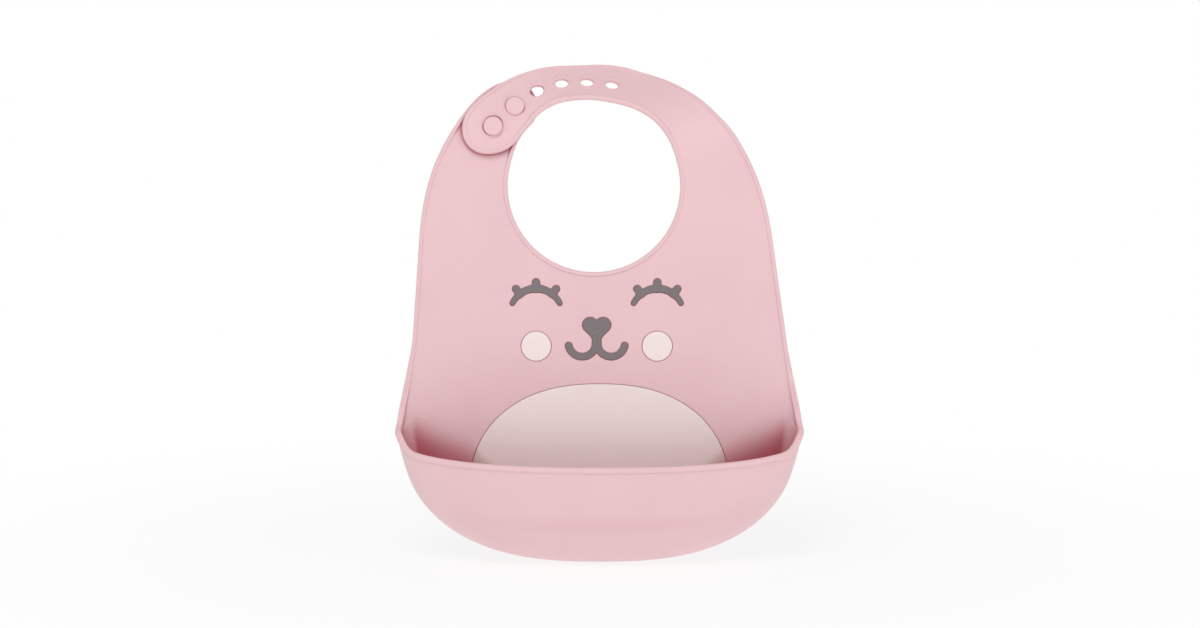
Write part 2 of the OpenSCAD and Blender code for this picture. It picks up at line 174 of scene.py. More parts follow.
RIB_TURN = 0.75  # share of its way out at which a rib turns forward, at the corner
BOWL_TURN = 2.2  # the same at the middle of the bowl
KNEE_REACH = 0.6  # share of the way forward at which a rib turns up, at the corner
BOWL_KNEE = 0.84  # the same at the middle of the bowl
WING_KNEE = 0.43  # the same at the top of a wing
WING_FALL = 0.45  # share of the way from the root's height to the lip's there
BOWL_RISE = 2.0  # the bowl turns up this far above its bottom

BOW = 1.2  # the hanging sheet bows this far forward
BOW_X = 125.0  # distance from the middle at which the bow would end
BOW_LOW, BOW_LOW_OVER = 4.0, 34.0  # it grows upwards from here
BOW_HIGH, BOW_HIGH_OVER = 78.0, 40.0  # and ends here

FACE_LEAN = 1.6
EYE_X = 34.6
EYE_Z = 59.6
CHEEK_Z = 41.8
CHEEK_R = 8.5
MOUTH_Z = 43.7
BELLY_X = 75.0
BELLY_TOP = 19.9
BELLY_Z = -45.0
BELLY_DROP = 10.0

fold_joint = next(j for j in frame["joints"] if j["name"] == "yoke_fold")
FOLD_Z = fold_joint["pos_m"][2] / MM

# ---- Curves ------------------------------------------------------


def ease(u):
    """0 to 1 with level ends, for u from 0 to 1."""
    c = np.clip(u, 0, 1)
    return c * c * (3 - 2 * c)


def mix(a, b, u):
    return a + (b - a) * u


def bump(x, span):
    """0 up to 1 and back, for x over a span."""
    u = np.clip((x - span[0]) / (span[1] - span[0]), 0, 1)
    return 16 * (u * (1 - u)) ** 2


def ramp(d):
    """A rounded ramp: 0 for d well below zero, d for d well above it."""
    return (d + np.sqrt(d * d + 4)) / 2


def cosd(a):
    return np.cos(np.radians(a))


def sind(a):
    return np.sin(np.radians(a))


def sup_cos(a, power):
    """Cosine of a superellipse with the given squareness."""
    return np.maximum(0, cosd(a)) ** (2 / power)


def sup_sin(a, power):
    return np.maximum(0, sind(a)) ** (2 / power)


def unit(v):
    return v / np.maximum(1e-9, np.linalg.norm(v, axis=-1, keepdims=True))


def centre_x(z):
    """Middle of the bib at height z."""
    return -NECK_LEAN / (NECK_Z - SEAM_Z) * np.maximum(0, z - SEAM_Z)


def half_width(z):
    """Half width of the sheet at height z, above the pocket corners."""
    slope = (WING_W - SHOULDER_W) / 2 / (SHOULDER_Z - WING_Z)
    low = WING_W / 2 - slope * (z - WING_Z)
    u = np.clip((z - SHOULDER_Z) / (CROWN_Z - SHOULDER_Z), 0, 1)
    return low * np.maximum(0, 1 - u**SIDE_POWER) ** (1 / SIDE_POWER)


def side_reach(phi, nearest=50.0, farthest=140.0, halvings=24):
    """Distance from the neck's centre to the side outline along phi, by halving."""
    phi = np.asarray(phi, float)
    low, high = np.full(phi.shape, nearest), np.full(phi.shape, farthest)
    for _ in range(halvings):
        r = (low + high) / 2
        z = NECK_Z + r * sind(phi)
        aside = np.abs(-NECK_LEAN + r * cosd(phi) - centre_x(z))
        out = (z > CROWN_Z) | (aside > half_width(z))
        high = np.where(out, r, high)
        low = np.where(out, low, r)
    return (low + high) / 2


def tilt(phi):
    """Lean of an arm at angle phi, in degrees from the plane of the panel."""
    drop = np.clip((LAST_HOLE - phi) / LEAN_OVER, 0, 1) ** TILT_POWER
    return NAPE_TILT * ease((phi - STRAP_ROOT) / LEAN_OVER) * ease(drop)


def set_back(phi):
    """Backward set of an arm's inner edge, most at the nape."""
    rise = ease((phi - STRAP_ROOT) / (NAPE - STRAP_ROOT))
    return NAPE_BACK * rise * ease((TAB_ROOT - phi) / (TAB_ROOT - NAPE))


def arm_flat(phi, w):
    """Point of the arms' shared surface at angle phi, w out from the neck's edge."""
    back = w * sind(tilt(phi)) + set_back(phi)
    r = NECK_R + w * cosd(tilt(phi))
    x = -NECK_LEAN + r * cosd(phi)
    z = NECK_Z + r * sind(phi) - NAPE_SINK * back
    return np.stack([x, MID_Y + back, z], -1)


def arm_front(phi, w, step=0.5):
    """Direction out of the front of an arm."""
    across = arm_flat(phi, w + step) - arm_flat(phi, w - step)
    along = arm_flat(phi + step, w) - arm_flat(phi - step, w)
    return unit(np.cross(across, along))


def strap_width(phi):
    flare = ramp((STRAP_FLARE_TO - phi) * STRAP_FLARE)
    own = STRAP_W + flare + SWELL_W * bump(phi, SWELL_SPAN)
    return mix(side_reach(phi) - NECK_R, own, ease((phi - STRAP_ROOT) / ROOT_OVER))


def tab_width(phi):
    own = STRAP_W + TAB_OVER + ramp((phi - TAB_FLARE_TO) * TAB_FLARE)
    return mix(side_reach(phi) - NECK_R, own, ease((TAB_ROOT - phi) / ROOT_OVER))


def strap_shift(phi):
    """How far the strap sits outside the neck's edge."""
    bends = SPRING_OUT * bump(phi, SPRING_SPAN) - PULL_IN * bump(phi, PULL_SPAN)
    return bends + TIP_OUT * ease((phi - TIP_FROM) / TIP_OVER)


def tab_shift(phi):
    return TAB_OUT * ease((TAB_OUT_FROM - phi) / TAB_OUT_OVER)


def strap_cut(phi):
    """How far the strap's inner edge is cut back."""
    return NIP * bump(phi, NIP_SPAN) + WAIST * bump(phi, WAIST_SPAN)


def strap_lift(phi):
    """Height of the strap over the arms' shared surface."""
    return LAYER_STEP * ease((phi - LIFT_FROM) / LIFT_OVER)


def no_lift(phi):
    return 0 * phi


# ---- Thickness of the sheet --------------------------------------

# The radius of a bead's nose, how far in from the edge it starts to fall, and the width of the fall
BEAD = {"radius": 1.65, "width": 2.0, "fall": 0.7}
LIP_BEAD = {"radius": 1.9, "width": 2.5, "fall": 0.8}
COLLAR = {"radius": 1.35, "width": 1.75, "fall": 0.4}

# Distances from a free edge, a hole and the lip at which the mesh has a row of points
BEAD_RINGS = [0.1, 0.4, 0.9, 1.6, 2.05, 2.25, 2.45, 2.7, 3.4]
COLLAR_RINGS = [0.08, 0.35, 0.75, 1.3, 1.75, 2.0, 2.3, 3.0]
LIP_RINGS = [4.2, 3.3, 2.95, 2.7, 2.5, 2.2, 1.8, 1.3, 0.85, 0.45, 0.15, 0.0]


def swell(d, radius, width, fall, base=SHEET_HALF):
    """Half thickness at distance d from a free edge: a round nose, a flat top, then the plain sheet."""
    nose = np.sqrt(np.maximum(0, radius**2 - np.maximum(0, radius - d) ** 2))
    return mix(nose, base, ease((d - width) / fall))


def edge_swell(d, touching=1e-3, **bead):
    """The same, with points on the edge itself held to no thickness."""
    return swell(np.where(d < touching, 0, d), **bead)


# ---- Flat drawing tools ------------------------------------------


def edge_distance(points, line, closed=False, at_once=4000):
    """Distance of each point from a polyline."""
    a = line
    b = np.roll(line, -1, 0)
    if not closed:
        a, b = a[:-1], b[:-1]
    best = np.full(len(points), np.inf)
    ab = b - a
    length = np.maximum(1e-12, (ab * ab).sum(1))
    for start in range(0, len(points), at_once):
        p = points[start : start + at_once, None, :]
        t = np.clip(((p - a) * ab).sum(2) / length, 0, 1)
        gap = np.linalg.norm(p - (a + t[..., None] * ab), axis=2)
        best[start : start + at_once] = gap.min(1)
    return best


def nearest_edge(points, lines, closed=False):
    """Distance of each point from the nearest of several polylines."""
    return np.min([edge_distance(points, line, closed) for line in lines], 0)


def inside(points, loop):
    """Whether each point is inside a closed loop."""
    x, y = points[:, 0], points[:, 1]
    hits = np.zeros(len(points), bool)
    for (ax, ay), (bx, by) in zip(loop, np.roll(loop, -1, 0)):
        if ay == by:
            continue
        cross = (ay > y) != (by > y)
        hits ^= cross & (x < (bx - ax) * (y - ay) / (by - ay) + ax)
    return hits


def signed_distance(points, loop):
    """Distance from a closed loop, below zero inside it."""
    d = edge_distance(points, loop, closed=True)
    return np.where(inside(points, loop), -d, d)


def line_run(line):
    """Length along a polyline at each of its points."""
    return np.concatenate([[0], np.cumsum(np.linalg.norm(np.diff(line, axis=0), axis=1))])


def respace(line, step):
    """The same polyline with even spacing near step; its ends stay."""
    run = line_run(line)
    s = np.linspace(0, run[-1], max(2, int(round(run[-1] / step)) + 1))
    return np.stack([np.interp(s, run, line[:, k]) for k in range(line.shape[1])], -1)


def closed_respace(loop, step):
    """The loop with even spacing, going anticlockwise."""
    x, z = loop[:, 0], loop[:, 1]
    area = (x * np.roll(z, -1) - z * np.roll(x, -1)).sum()
    if area < 0:
        loop = loop[::-1]
    return respace(np.concatenate([loop, loop[:1]]), step)[:-1]


def dedupe(line, least=0.02):
    """The polyline without points closer than least to the one before."""
    gap = np.linalg.norm(np.diff(line, axis=0), axis=1)
    return line[np.concatenate([[True], gap > least])]


def offset_line(line, d, closed=False):
    """The polyline moved d to its left."""
    if closed:
        along = np.roll(line, -1, 0) - np.roll(line, 1, 0)
    else:
        along = np.gradient(line, axis=0)
    along = unit(along)
    return line + d * np.stack([-along[:, 1], along[:, 0]], -1)


def circle(x, z, r, n=96):
    a = np.linspace(0, 360, n, endpoint=False)
    return np.stack([x + r * cosd(a), z + r * sind(a)], -1)


def arc(x, z, across, up, start, end, n):
    """Points of an ellipse's arc about (x, z), from one angle to another."""
    a = np.linspace(start, end, n)
    return np.stack([x + across * cosd(a), z + up * sind(a)], -1)


def lattice(loop, step_x, step_z):
    """Staggered rows of points over a loop's box."""
    low, high = loop.min(0), loop.max(0)
    rows = np.arange(low[1] + step_z / 2, high[1], step_z)
    points = []
    for k, z in enumerate(rows):
        x = np.arange(low[0] + step_x * (0.25 if k % 2 else 0.75), high[0], step_x)
        points.append(np.stack([x, np.full(len(x), z)], -1))
    return np.concatenate(points)


def triangulate(loops, loose):
    """Triangles over the first loop less the others, through all the loops' and the loose points."""
    points, edges = [], []
    for loop in loops:
        n, start = len(loop), len(points)
        points += [tuple(p) for p in loop]
        edges += [(start + k, start + (k + 1) % n) for k in range(n)]
    points += [tuple(p) for p in loose]
    out = delaunay_2d_cdt([Vector(p) for p in points], edges, [], 0, 1e-5, False)
    verts = np.array([tuple(v) for v in out[0]])
    tris = np.array([f for f in out[2]])
    middle = verts[tris].mean(1)
    keep = inside(middle, loops[0])
    for hole in loops[1:]:
        keep &= ~inside(middle, hole)
    return verts, tris[keep]


# ---- Meshes ------------------------------------------------------


def sag(points):
    """The slow bow of the hanging sheet, as a shift along Y that fades out under the neck."""
    x, z = points[..., 0], points[..., 2]
    across = np.maximum(0, 1 - (x / BOW_X) ** 2)
    up = ease((z - BOW_LOW) / BOW_LOW_OVER) * ease((BOW_HIGH - z) / BOW_HIGH_OVER)
    moved = points.copy()
    moved[..., 1] = points[..., 1] - BOW * across * up
    return moved


def new_piece(name, verts, faces, sharp=()):
    """A smooth-shaded mesh from millimetre points. sharp lists faces whose edges stay crisp."""
    mesh = bpy.data.meshes.new(name)
    mesh.from_pydata((np.asarray(verts) * MM).tolist(), [], [list(map(int, f)) for f in faces])
    mesh.polygons.foreach_set("use_smooth", [True] * len(mesh.polygons))
    mesh.validate()
    if len(sharp):
        edges = set()
        for f in sharp:
            edges |= {tuple(sorted((int(a), int(b)))) for a, b in zip(f, f[1:] + f[:1])}
        layer = mesh.attributes.new("sharp_edge", "BOOLEAN", "EDGE")
        layer.data.foreach_set("value", [tuple(sorted(e.vertices)) in edges for e in mesh.edges])
    mesh.update()
    obj = bpy.data.objects.new(name, mesh)
    bpy.context.scene.collection.objects.link(obj)
    return obj


def weld(piece, gap=1e-6):
    """Joins points that coincide, in metres, and turns all faces outwards."""
    bm = bmesh.new()
    bm.from_mesh(piece.data)
    bmesh.ops.remove_doubles(bm, verts=bm.verts, dist=gap)
    bmesh.ops.recalc_face_normals(bm, faces=bm.faces)
    bm.to_mesh(piece.data)
    bm.free()
    piece.data.polygons.foreach_set("use_smooth", [True] * len(piece.data.polygons))


def turned_to(tris, mid, normal):
    """The triangles, each wound so that it faces along the normal at its first point."""
    a, b, c = mid[tris[:, 0]], mid[tris[:, 1]], mid[tris[:, 2]]
    flip = (np.cross(b - a, c - a) * normal[tris[:, 0]]).sum(1) < 0
    return np.where(flip[:, None], tris[:, ::-1], tris)


def open_edges(tris):
    """Edges that belong to one triangle only, in the order of their triangles."""
    found = {}
    for t in tris:
        for k in range(3):
            found[int(t[k]), int(t[(k + 1) % 3])] = True
    return [e for e in found if (e[1], e[0]) not in found]


def shell(name, mid, normal, front, back, tris, thin=1e-6):
    """A closed sheet from its mid-surface. A point with no thickness is on the round nose of a free
    edge, where the front meets the back; any other open edge is a cut, and gets a flat end."""
    n = len(mid)
    nose = (front < thin) & (back < thin)
    back_id = np.where(nose, np.arange(n), n + np.cumsum(~nose) - 1)
    verts = np.concatenate([mid + normal * front[:, None], (mid - normal * back[:, None])[~nose]])
    tris = turned_to(tris, mid, normal)
    ends = []
    for u, v in open_edges(tris):
        if nose[u] and nose[v]:
            continue
        face = [v, u, back_id[u], back_id[v]]
        ends.append([p for k, p in enumerate(face) if p not in face[:k]])
    faces = [list(t) for t in tris] + [list(back_id[t[::-1]]) for t in tris] + ends
    return new_piece(name, sag(verts), faces, ends)


# ---- The catch pocket --------------------------------------------

WING_RIBS = 40
BOWL_RIBS = 64
WING_CROWD = 0.7  # how much the wing's ribs crowd towards the corner
BOWL_CROWD = 1.3  # the same for the bowl's
BODY_STATIONS = 34  # points along a rib from its start to the lip's bead
CURVE_SAMPLES = 160
START_SAMPLES = 12
BEAD_SHARE = 0.85  # most of a short rib that the lip's bead may take up


def wing_rib(m):
    """Control points of a rib of the right-hand wing; m is 1 at its top and 0 at the corner."""
    rim_x = half_width(SEAM_Z)
    lip_x = CORNER_W / 2 - (CORNER_W / 2 - rim_x) * m**WING_POWER
    lip_y = MID_Y - (CORNER_Y + MID_Y) * (1 - m) ** WING_REACH_POWER
    lip = np.array([lip_x, lip_y, LIP_FALL * (lip_y - MID_Y) + SEAM_Z * m**3])
    root = np.array([PANEL_W / 2 - WING_ROOT_IN * m * m, MID_Y, SEAM_Z * m * m])
    forward = lip_y - MID_Y
    high_knee = np.array([lip_x, MID_Y + forward * WING_KNEE, mix(root[2], lip[2], WING_FALL)])
    low_knee = np.array([lip_x - CORNER_TUCK, MID_Y + forward * KNEE_REACH, lip[2] - CORNER_DIP])
    knee = mix(low_knee, high_knee, ease(m / DIP_REACH))
    return np.array([root, [mix(root[0], lip_x, RIB_TURN), MID_Y, root[2]], knee, lip])


def bowl_rib(a):
    """Control points of a rib of the bowl's right-hand half, for a from 0 at the corner to 90."""
    c, s = sup_cos(a, POCKET_POWER), sup_sin(a, POCKET_POWER)
    lip_c, lip_s = sup_cos(a, LIP_POWER), sup_sin(a, LIP_POWER)
    y = -CORNER_Y - (POCKET_Y - CORNER_Y) * lip_s
    drop = LIP_DROP * ease((lip_s - DROP_FROM) / DROP_OVER)
    lip = np.array([CORNER_W / 2 * lip_c, y, LIP_FALL * (y - MID_Y) - drop])
    root = np.array([PANEL_W / 2 * c, MID_Y, -(POCKET_Z - POCKET_INSET) * s])
    near = max(0, 1 - s / FLARE_REACH) ** FLARE_POWER
    flare = CORNER_FLARE * near
    rim = np.array([(CORNER_W / 2 - CORNER_FLARE + flare) * c, MID_Y, -POCKET_Z * s])
    knee_x = (lip[0] + rim[0]) / 2 - CORNER_TUCK * near
    knee_y = MID_Y + (y - MID_Y) * mix(KNEE_REACH, BOWL_KNEE, s)
    knee_z = mix(lip[2] - CORNER_DIP, -(POCKET_Z - BOWL_RISE), s)
    turn = root + mix(RIB_TURN, BOWL_TURN, s) * (rim - root)
    return np.array([root, turn, [knee_x, knee_y, knee_z], lip])


def rib_curve(rib):
    """A rib's control points as a polyline, with a flat start inside the panel."""
    t = np.linspace(0, 1, CURVE_SAMPLES)[:, None]
    u = 1 - t
    curve = u**3 * rib[0] + 3 * u * u * t * rib[1] + 3 * u * t * t * rib[2] + t**3 * rib[3]
    start = rib[0] - SEAM_IN * unit(rib[1] - rib[0])
    lead = start + np.linspace(0, 1, START_SAMPLES)[:-1, None] * (rib[0] - start)
    return np.concatenate([lead, curve])


def rib_line(rib, lip):
    """A rib's stations and their distances to the lip, with close rings in the lip's bead."""
    line = rib_curve(rib)
    run = line_run(line)
    gap = np.maximum.accumulate(edge_distance(line, lip)[::-1])[::-1]
    gap[-1] = 0
    ring_run = np.interp(np.minimum(LIP_RINGS, gap[0] * BEAD_SHARE), gap[::-1], run[::-1])
    s = np.concatenate([np.linspace(0, ring_run[0], BODY_STATIONS)[:-1], ring_run])
    return np.stack([np.interp(s, run, line[:, k]) for k in range(3)], -1), np.interp(s, run, gap)


def pocket_grid():
    """Mid-surface of the pocket as ribs of points, and each point's distance to the lip."""
    ribs = [wing_rib(m) for m in np.linspace(1, 0, WING_RIBS, endpoint=False) ** WING_CROWD]
    ribs += [bowl_rib(a) for a in 90 * np.linspace(0, 1, BOWL_RIBS) ** BOWL_CROWD]
    lip = np.array([r[-1] for r in ribs])
    lip = np.concatenate([lip, lip[-2::-1] * [-1, 1, 1]])
    lines = [rib_line(r, lip) for r in ribs]
    lines += [(line * [-1, 1, 1], d) for line, d in lines[-2::-1]]
    return np.stack([line for line, _ in lines]), np.stack([d for _, d in lines])


def grid_tris(n, m):
    """Triangles over a grid of n rows of m points."""
    grid = np.arange(n * m).reshape(n, m)
    a, b, c, d = grid[:-1, :-1], grid[1:, :-1], grid[1:, 1:], grid[:-1, 1:]
    halves = [np.stack([a, b, c], -1).reshape(-1, 3), np.stack([a, c, d], -1).reshape(-1, 3)]
    return np.concatenate(halves)


pocket_mid, pocket_d = pocket_grid()


def pocket_piece():
    """The pocket, with the sheet's bead on its wings that grows into the lip's own."""
    n, m, _ = pocket_mid.shape
    normal = unit(np.cross(np.gradient(pocket_mid, axis=0), np.gradient(pocket_mid, axis=1)))
    normal *= np.sign(-normal[:, :1, 1:2])
    normal[:, 0] = [0, -1, 0]
    from_top = np.minimum(np.arange(n), np.arange(n)[::-1]) / WING_RIBS
    half = mix(swell(pocket_d, **BEAD), swell(pocket_d, **LIP_BEAD), ease(from_top)[:, None])
    half[:, -1] = 0
    flat = half.reshape(-1)
    mid = pocket_mid.reshape(-1, 3)
    return shell("pocket_sheet", mid, normal.reshape(-1, 3), flat, flat, grid_tris(n, m))


# ---- Inlay outlines ----------------------------------------------


def smooth_min(a, b, k=0.9):
    """The lesser of two fields, with a fillet of about k where they cross."""
    h = np.clip(0.5 + 0.5 * (b - a) / k, 0, 1)
    return mix(b, a, h) - k * h * (1 - h)


def arc_distance(x, z, r, spread, turn, half):
    """Distance from a round-ended arc about the origin, from turn - spread to turn + spread."""
    a = np.degrees(np.arctan2(z, x)) - turn
    a = np.abs((a + 180) % 360 - 180)
    on = np.clip(a, 0, spread)
    reach = np.hypot(x, z)
    return np.hypot(reach * cosd(a - on) - r, reach * sind(a - on)) - half


def stick_distance(x, z, a, b, half):
    """Distance from a straight round-ended stroke from a to b."""
    ab = np.subtract(b, a)
    t = np.clip(((x - a[0]) * ab[0] + (z - a[1]) * ab[1]) / (ab @ ab), 0, 1)
    return np.hypot(x - a[0] - t * ab[0], z - a[1] - t * ab[1]) - half


def eye_field(x, z):
    """A closed eye: an arched lid that thins towards its ends, with three short lashes."""
    lid_r, lid_spread, lid_half = 15.2, 63.5, 2.1
    thin, thin_at, thin_power = 0.75, 14, 1.5
    lash_r, lash_reach, lash_spread = 2.05, 18.9, 37.3
    z = z - EYE_Z
    half = lid_half - thin * (np.abs(x) / thin_at) ** thin_power
    field = arc_distance(x, z, lid_r, lid_spread, 90, half)
    for a in (90 - lash_spread, 90, 90 + lash_spread):
        foot = (lid_r * cosd(a), lid_r * sind(a))
        tip = (lash_reach * cosd(a), lash_reach * sind(a))
        field = smooth_min(field, stick_distance(x, z, foot, tip, lash_r))
    return field


def heart_field(x, z):
    """The right-hand half of a heart-shaped nose, for x above zero."""
    lobe_x, lobe_z, lobe_r = 3.7, 54.0, 4.4
    dip_z = 55.6
    right = np.array([(1.2, 45.4), (7.2, 51.4), (lobe_x, lobe_z)])
    wedge = np.concatenate([right[::-1] * [-1, 1], right, [(0, dip_z)]])
    flat = np.stack([x.ravel(), z.ravel()], -1)
    lobe = np.hypot(x - lobe_x, z - lobe_z) - lobe_r
    return np.minimum(lobe, signed_distance(flat, wedge).reshape(x.shape))


def muzzle_field(x, z):
    """A heart-shaped nose with a short stem over a two-lobed mouth."""
    stem_half, stem_top, stem_low, stem_round = 2.1, 50, 41.5, 2.0
    mouth_x, mouth_r, mouth_half, mouth_round = 8.25, 7.9, 1.95, 1.2
    mouth_spread, mouth_turn = 85, 264
    x = np.abs(x)
    stem = np.maximum(x - stem_half, np.maximum(z - stem_top, stem_low - z))
    mouth = arc_distance(x - mouth_x, z - MOUTH_Z, mouth_r, mouth_spread, mouth_turn, mouth_half)
    return smooth_min(smooth_min(heart_field(x, z), stem, stem_round), mouth, mouth_round)


def grid_links(v):
    """For each grid edge that the zero line crosses, the next one along it, by marching squares."""
    links = {}
    for i in range(v.shape[0] - 1):
        for j in range(v.shape[1] - 1):
            ring = [(i, j), (i + 1, j), (i + 1, j + 1), (i, j + 1)]
            signs = [v[p] < 0 for p in ring]
            if all(signs) or not any(signs):
                continue
            cuts = []
            for k in range(4):
                p, q = ring[k], ring[(k + 1) % 4]
                if signs[k] != signs[(k + 1) % 4]:
                    cuts.append(((min(p, q), max(p, q)), signs[k]))
            for k in range(0, len(cuts), 2):
                one, other = cuts[k : k + 2]
                start, end = (one, other) if one[1] else (other, one)
                links[start[0]] = end[0]
    return links


def longest_chain(links):
    """The longest run of linked keys."""
    chains, left = [], set(links)
    while left:
        key = first = left.pop()
        chain = [first]
        while links.get(key) not in (None, first):
            key = links[key]
            left.discard(key)
            chain.append(key)
        chains.append(chain)
    return max(chains, key=len)


def trace(field, low, high, step=0.2):
    """The longest outline where a field is zero."""
    xs, zs = np.arange(low[0], high[0], step), np.arange(low[1], high[1], step)
    v = field(*np.meshgrid(xs, zs, indexing="ij"))
    points = []
    for a, b in longest_chain(grid_links(v)):
        t = v[a] / (v[a] - v[b])
        points.append([xs[a[0]] + t * (xs[b[0]] - xs[a[0]]), zs[a[1]] + t * (zs[b[1]] - zs[a[1]])])
    return np.array(points)


def belly_loop():
    """A superellipse over a shallow rounded lower end."""
    a = np.linspace(0, 180, 240)
    x = np.sign(cosd(a)) * BELLY_X * np.abs(cosd(a)) ** (2 / LIP_POWER)
    upper = np.stack([x, BELLY_Z + (BELLY_TOP - BELLY_Z) * sup_sin(a, LIP_POWER)], -1)
    lower = np.stack([-BELLY_X * cosd(a), BELLY_Z - BELLY_DROP * sind(a)], -1)[1:-1]
    return np.concatenate([upper, lower])


FACE_STEP = 0.45  # spacing of the points along the outlines of the face
BELLY_STEP = 1.2

eye_outline = trace(eye_field, (-17, EYE_Z + 4), (17, EYE_Z + 22))
muzzle_outline = trace(muzzle_field, (-19, 32), (19, 60))
LEFT_X, RIGHT_X = -EYE_X - FACE_LEAN, EYE_X - FACE_LEAN
GREY_OUTLINES = {
    "left_eye_inlay": eye_outline + [LEFT_X, 0],
    "right_eye_inlay": eye_outline + [RIGHT_X, 0],
    "muzzle_inlay": muzzle_outline + [-FACE_LEAN, 0],
}
CREAM_OUTLINES = {
    "left_cheek_inlay": circle(LEFT_X, CHEEK_Z, CHEEK_R),
    "right_cheek_inlay": circle(RIGHT_X, CHEEK_Z, CHEEK_R),
    "belly_inlay": belly_loop(),
}
INLAYS = {}
for inlay_slot, outlines in (("grey_silicone", GREY_OUTLINES), ("cream_silicone", CREAM_OUTLINES)):
    for key, outline in outlines.items():
        spacing = BELLY_STEP if key == "belly_inlay" else FACE_STEP
        INLAYS[key] = (closed_respace(outline, spacing), inlay_slot)

RECESS_DEPTH = 0.5
RECESS_FROM = 0.08  # the groove round an inlay starts to rise this far outside it
RECESS_OVER = 0.42  # and reaches the sheet's face in this width
RECESS_RINGS = (-0.1, 0.08, 0.3, 0.5, 0.75)  # distances outside an inlay with a row of points
INLAY_PROUD = 0.12
# An inlay's rounded edge, as distances in from its outline and heights over the sheet's face
INLAY_ROUND = [(0.0, -0.3), (0.0, -0.06), (0.07, 0.05), (0.2, 0.11), (0.4, INLAY_PROUD)]
INLAY_MESH = (2.4, 2.1)
INLAY_CLEAR = 0.9  # loose points keep this far from an inlay's edge


def on_front(flat, h):
    """Drawn points on the sheet's front face, raised by h."""
    return np.stack([flat[:, 0], np.full(len(flat), -2 * SHEET_HALF - h), flat[:, 1]], -1)


def ring_faces(rings, n):
    """Faces that join each ring of n points to the next."""
    faces = []
    for k in range(rings - 1):
        for i in range(n):
            j = (i + 1) % n
            faces.append([k * n + i, k * n + j, (k + 1) * n + j, (k + 1) * n + i])
    return faces


def inlay_piece(name, loop):
    """A thin tablet with a rounded upper edge, seated in the front of the sheet."""
    rings = [offset_line(loop, d, closed=True) for d, _ in INLAY_ROUND]
    heights = [h for _, h in INLAY_ROUND]
    verts = np.concatenate([on_front(ring, h) for ring, h in zip(rings, heights)])
    faces = ring_faces(len(rings), len(loop))
    loose = lattice(rings[-1], *INLAY_MESH)
    loose = loose[inside(loose, rings[-1]) & (edge_distance(loose, rings[-1], True) > INLAY_CLEAR)]
    for ring, h, turn in ((rings[-1], heights[-1], 1), (rings[0], heights[0], -1)):
        flat, tris = triangulate([ring], loose)
        faces += [[int(p) + len(verts) for p in t[::turn]] for t in tris]
        verts = np.concatenate([verts, on_front(flat, h)])
    piece = new_piece(name, sag(verts), faces)
    weld(piece)
    return piece


# ---- Panel and yoke ----------------------------------------------

SEAM_STEP = 2.5  # spacing of the points along a seam, between the beads
SIDE_STEP = 1.5
SHEET_MESH = (3.2, 2.8)
FOLD_MESH = (2.6, 1.1)  # closer rows, parallel to the hinge, where the yoke folds
FOLD_SHIFT = 2.5  # the middle of these rows sits this far over the hinge
FOLD_BAND = 9.5  # and they reach this far from it
ROW_SLACK = 0.03  # play in that test, for rows round a bend
ROW_CLEAR = 0.7  # a row keeps this far from a seam
FILL_CLEAR = 1.0  # loose points keep this far from seams and inlays
FILL_GAP = 0.8  # and this far beyond the last row along an edge


def side_line(side, z0, z1, n=160):
    """The free side edge between two heights."""
    z = mix(z0, z1, np.linspace(0, 1, n))
    return np.stack([side * half_width(z) + centre_x(z), z], -1)


def seam_stations(width):
    """Distances along a seam between two free edges, with close steps in the beads."""
    rings = np.array([0.0] + BEAD_RINGS)
    count = int((width - 2 * rings[-1]) / SEAM_STEP) + 2
    body = np.linspace(rings[-1], width - rings[-1], count)
    return np.concatenate([rings[:-1], body, width - rings[:-1][::-1]])


def arm_seam(phi):
    """Points of the straight seam between the yoke and an arm, from the neck outwards."""
    r = NECK_R + seam_stations(float(side_reach(phi)) - NECK_R)
    return np.stack([-NECK_LEAN + r * cosd(phi), NECK_Z + r * sind(phi)], -1)


def ring_points(line, edges, seams):
    """Rows of points on the left of a free edge, where no free edge is nearer, clear of the seams."""
    rows = []
    for d in BEAD_RINGS:
        row = offset_line(line, d)
        clear = nearest_edge(row, edges) > d - ROW_SLACK
        rows.append(row[clear & (nearest_edge(row, seams) > ROW_CLEAR)])
    return np.concatenate(rows)


def sheet_outline():
    """The sheet's clockwise loop, its three free edges and its five seams."""
    right_seam, left_seam = arm_seam(STRAP_ROOT), arm_seam(TAB_ROOT)
    right = respace(side_line(1, right_seam[-1][1], SEAM_Z), SIDE_STEP)
    left = respace(side_line(-1, SEAM_Z, left_seam[-1][1]), SIDE_STEP)
    neck = arc(-NECK_LEAN, NECK_Z, NECK_R, NECK_R, TAB_ROOT, 360 + STRAP_ROOT, 200)
    jog_right = pocket_mid[0][::-1][:, [0, 2]]
    jog_left = pocket_mid[-1][:, [0, 2]]
    root = pocket_mid[:, 0][:, [0, 2]]
    right[-1], left[0] = jog_right[0], jog_left[-1]
    sides = [right_seam, right, jog_right, root, jog_left, left, left_seam[::-1], neck]
    loop = np.concatenate([side[:-1] for side in sides])
    return loop, [right, left, neck], [right_seam, left_seam, jog_right, jog_left, root]


def sheet_fill(loop):
    """Loose points over the sheet, in closer rows where the yoke folds."""
    plain, close = lattice(loop, *SHEET_MESH), lattice(loop, *FOLD_MESH)
    plain = plain[np.abs(plain[:, 1] - FOLD_Z - FOLD_SHIFT) > FOLD_BAND]
    close = close[np.abs(close[:, 1] - FOLD_Z - FOLD_SHIFT) <= FOLD_BAND]
    fill = np.concatenate([plain, close])
    return fill[inside(fill, loop)]


